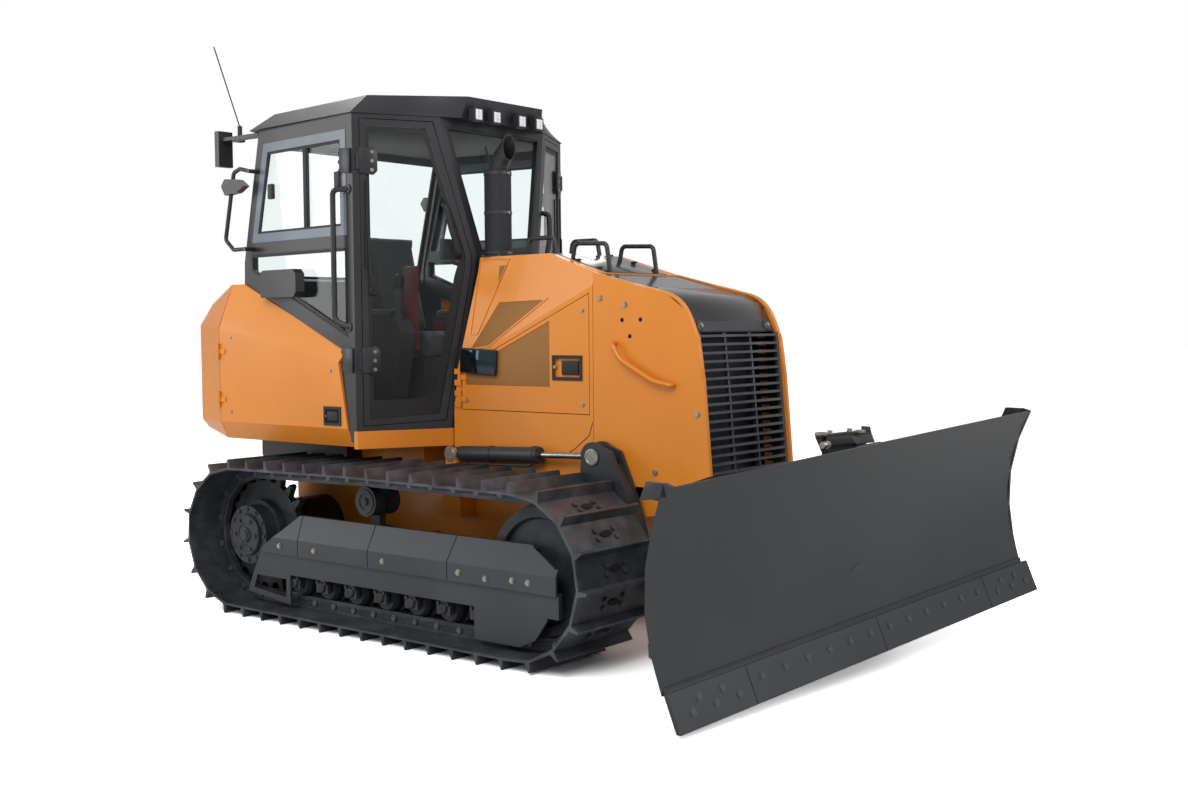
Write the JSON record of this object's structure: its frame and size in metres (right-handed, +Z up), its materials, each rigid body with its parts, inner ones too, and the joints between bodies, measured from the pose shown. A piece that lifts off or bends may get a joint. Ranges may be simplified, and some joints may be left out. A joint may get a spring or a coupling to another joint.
{
  "type": "bulldozer",
  "caption": "Tracked bulldozer with an enclosed cab, opening doors, a lifting C-frame and an angling, tilting blade moved by hydraulic cylinders.",
  "frame": {"origin": "on the ground midway between the two tracks, under the middle of the whole length from rear tank to blade", "axes": "+X forward towards the blade, +Y to the operator's left, +Z up"},
  "size_m": [4.3935, 2.954, 3.3217],
  "materials": {
    "yellow_paint": "gloss",
    "black_paint": "satin",
    "charcoal_paint": "satin",
    "track_steel": "worn",
    "chrome": "polished",
    "window_glass": "clear",
    "seat_cloth": "woven",
    "cab_plastic": "grained",
    "cast_steel": "as cast"
  },
  "bodies": {
    "machine": {"body_supports": "charcoal_paint", "cab_floor": "black_paint", "cab_glass": "window_glass", "cab_rails": "black_paint", "cab_roof": "black_paint", "cab_shell": "black_paint", "consoles": "cab_plastic", "cowl": "yellow_paint", "dash": "cab_plastic", "door_sills": "yellow_paint", "drawbar": "yellow_paint", "engine_block": "cast_steel", "engine_cover": "yellow_paint", "exhaust": "black_paint", "grille": "black_paint", "hood_handles": "black_paint", "hood_rails": "yellow_paint", "hood_top": "black_paint", "idlers": "cast_steel", "main_frame": "yellow_paint", "radiator": "cast_steel", "rear_fittings": "black_paint", "rear_tank": "yellow_paint", "rollers": "cast_steel", "roof_lamps": "black_paint", "seat_back": "seat_cloth", "seat_base": "cab_plastic", "seat_cushion": "seat_cloth", "side_pods": "yellow_paint", "sill_box": "black_paint", "sprockets": "cast_steel", "track_frames": "charcoal_paint", "track_guards": "charcoal_paint", "track_left": "track_steel", "track_right": "track_steel"},
    "c_frame": {"c_frame": "charcoal_paint"},
    "yoke": {"blade_yoke": "charcoal_paint"},
    "blade": {"blade": "charcoal_paint", "cutting_edges": "charcoal_paint"},
    "cab_door_right": {"cab_door_right": "black_paint", "door_glass_right": "window_glass"},
    "cab_door_left": {"cab_door_left": "black_paint", "door_glass_left": "window_glass"},
    "angle_barrel_left": {"angle_barrel_left": "charcoal_paint"},
    "angle_barrel_right": {"angle_barrel_right": "charcoal_paint"},
    "angle_rod_left": {"angle_rod_left": "chrome"},
    "angle_rod_right": {"angle_rod_right": "chrome"},
    "engine_door_left": {"engine_door_left": "yellow_paint"},
    "engine_door_right": {"engine_door_right": "yellow_paint"},
    "lift_barrel_left": {"lift_barrel_left": "charcoal_paint"},
    "lift_barrel_right": {"lift_barrel_right": "charcoal_paint"},
    "lift_rod_left": {"lift_rod_left": "chrome"},
    "lift_rod_right": {"lift_rod_right": "chrome"},
    "service_door_left": {"service_door_left": "yellow_paint"},
    "service_door_right": {"service_door_right": "yellow_paint"},
    "tilt_barrel": {"tilt_barrel": "charcoal_paint"},
    "tilt_rod": {"tilt_rod": "chrome"}
  },
  "joints": [
    {"name": "lift_arms", "type": "hinge", "parent": "machine", "child": "c_frame", "pos_m": [0.5063, 0, 0.38], "axis": [0, -1, 0], "range_deg": [-12, 28]},
    {"name": "blade_angle", "type": "hinge", "parent": "c_frame", "child": "yoke", "pos_m": [1.7413, 0, 0.385], "axis": [0, 0, 1], "range_deg": [-16.5, 27.5]},
    {"name": "blade_tilt", "type": "hinge", "parent": "yoke", "child": "blade", "pos_m": [2.05186, -0.0299, 0.42], "axis": [0.9954, -0.0958, 0], "range_deg": [-13, 7]},
    {"name": "lift_swing_right", "type": "hinge", "parent": "machine", "child": "lift_barrel_right", "pos_m": [-0.2837, -0.437, 0.93], "axis": [0, -1, 0], "range_deg": [-2.2, 4.74]},
    {"name": "lift_stroke_right", "type": "slide", "parent": "lift_barrel_right", "child": "lift_rod_right", "axis": [0.9994, 0, 0.0356], "range_m": [-0.2913, 0.1254]},
    {"name": "lift_swing_left", "type": "hinge", "parent": "machine", "child": "lift_barrel_left", "pos_m": [-0.2837, 0.437, 0.93], "axis": [0, -1, 0], "range_deg": [-2.2, 4.74]},
    {"name": "lift_stroke_left", "type": "slide", "parent": "lift_barrel_left", "child": "lift_rod_left", "axis": [0.9994, 0, 0.0356], "range_m": [-0.2913, 0.1254]},
    {"name": "angle_swing_right", "type": "hinge", "parent": "c_frame", "child": "angle_barrel_right", "pos_m": [1.1813, -0.53, 0.565], "axis": [0, 0, 1], "range_deg": [-4.49, 2.82]},
    {"name": "angle_stroke_right", "type": "slide", "parent": "angle_barrel_right", "child": "angle_rod_right", "axis": [0.9695, 0.245, 0], "range_m": [-0.1076, 0.1787]},
    {"name": "angle_swing_left", "type": "hinge", "parent": "c_frame", "child": "angle_barrel_left", "pos_m": [1.1813, 0.53, 0.565], "axis": [0, 0, 1], "range_deg": [-4.5, 2.82]},
    {"name": "angle_stroke_left", "type": "slide", "parent": "angle_barrel_left", "child": "angle_rod_left", "axis": [0.9766, -0.2152, 0], "range_m": [-0.1793, 0.108]},
    {"name": "tilt_swing", "type": "hinge", "parent": "yoke", "child": "tilt_barrel", "pos_m": [1.90086, -0.09573, 0.985], "axis": [0.9954, -0.0958, 0], "range_deg": [-11.24, 6.19]},
    {"name": "tilt_stroke", "type": "slide", "parent": "tilt_barrel", "child": "tilt_rod", "axis": [0.0957, 0.9944, 0.0451], "range_m": [-0.0699, 0.129]},
    {"name": "engine_door_right", "type": "hinge", "parent": "machine", "child": "engine_door_right", "pos_m": [-0.2997, -0.3883, 1.28], "axis": [0, 0, -1], "range_deg": [0, 90]},
    {"name": "engine_door_left", "type": "hinge", "parent": "machine", "child": "engine_door_left", "pos_m": [-0.2997, 0.3883, 1.28], "axis": [0, 0, 1], "range_deg": [0, 90]},
    {"name": "service_door_right", "type": "hinge", "parent": "machine", "child": "service_door_right", "pos_m": [-1.8047, -0.8583, 1.34], "axis": [0, 0, -1], "range_deg": [0, 90]},
    {"name": "service_door_left", "type": "hinge", "parent": "machine", "child": "service_door_left", "pos_m": [-1.8047, 0.8583, 1.34], "axis": [0, 0, 1], "range_deg": [0, 90]},
    {"name": "cab_door_right", "type": "hinge", "parent": "machine", "child": "cab_door_right", "pos_m": [-0.59715, -0.83096, 1.9], "axis": [0, 0, -1], "range_deg": [0, 150]},
    {"name": "cab_door_left", "type": "hinge", "parent": "machine", "child": "cab_door_left", "pos_m": [-0.59715, 0.83096, 1.9], "axis": [0, 0, 1], "range_deg": [0, 150]}
  ],
  "couplings": [
    {"joint": "lift_swing_right", "follows": "lift_arms", "ratio": 0.1586},
    {"joint": "lift_stroke_right", "follows": "lift_arms", "m_per_rad": -0.59394},
    {"joint": "lift_swing_left", "follows": "lift_arms", "ratio": 0.1586},
    {"joint": "lift_stroke_left", "follows": "lift_arms", "m_per_rad": -0.59394},
    {"joint": "angle_swing_right", "follows": "blade_angle", "ratio": -0.1525},
    {"joint": "angle_stroke_right", "follows": "blade_angle", "m_per_rad": 0.37028},
    {"joint": "angle_swing_left", "follows": "blade_angle", "ratio": -0.1528},
    {"joint": "angle_stroke_left", "follows": "blade_angle", "m_per_rad": -0.37148},
    {"joint": "tilt_swing", "follows": "blade_tilt", "ratio": 0.8414},
    {"joint": "tilt_stroke", "follows": "blade_tilt", "m_per_rad": -0.56415}
  ]
}
